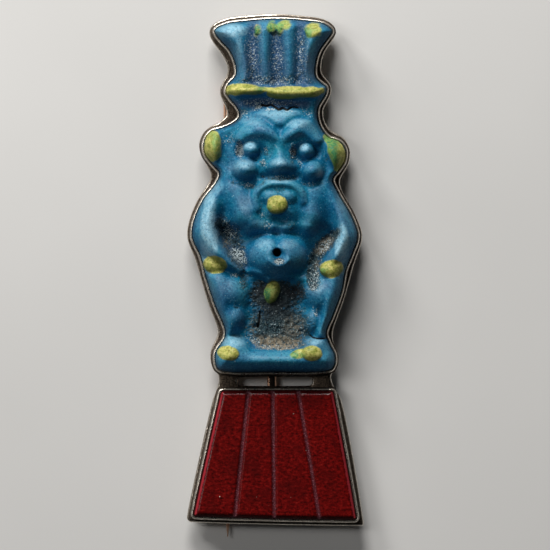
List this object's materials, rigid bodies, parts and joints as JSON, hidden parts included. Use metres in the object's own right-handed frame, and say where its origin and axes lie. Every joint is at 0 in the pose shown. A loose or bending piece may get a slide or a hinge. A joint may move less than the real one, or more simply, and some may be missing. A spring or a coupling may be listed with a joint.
{
  "type": "bes figure",
  "caption": "Moulded faience relief of Bes above a grooved red stone tablet, both held in a metal setting with a hinged pin behind.",
  "frame": {"origin": "middle of the brooch's outline, on the surface that it lies on", "axes": "+Y towards the top of the figure's crown, +Z out of its front, +X to the right of a viewer facing it"},
  "size_m": [0.025, 0.0742, 0.0108],
  "materials": {
    "faience": "worn semi-gloss glaze, yellow-green accents",
    "red_stone": "polished, with matt grooves",
    "silver": "worn bright on the edges, tarnished between",
    "copper_gold": "polished"
  },
  "bodies": {
    "brooch": {"bes_figure": "faience", "red_tablet": "red_stone", "setting_plate": "silver", "figure_bezel": "silver", "tablet_bezel": "silver", "back_frame": "copper_gold", "pin_hinge": "copper_gold", "hinge_rivet": "copper_gold", "pin_catch": "copper_gold"},
    "pin": {"pin_stem": "copper_gold"}
  },
  "joints": [
    {"name": "pin_swing", "type": "hinge", "parent": "brooch", "child": "pin", "pos_m": [-0.00674, 0.02635, 0.001], "axis": [1, 0, 0], "range_deg": [0, 95]}
  ]
}
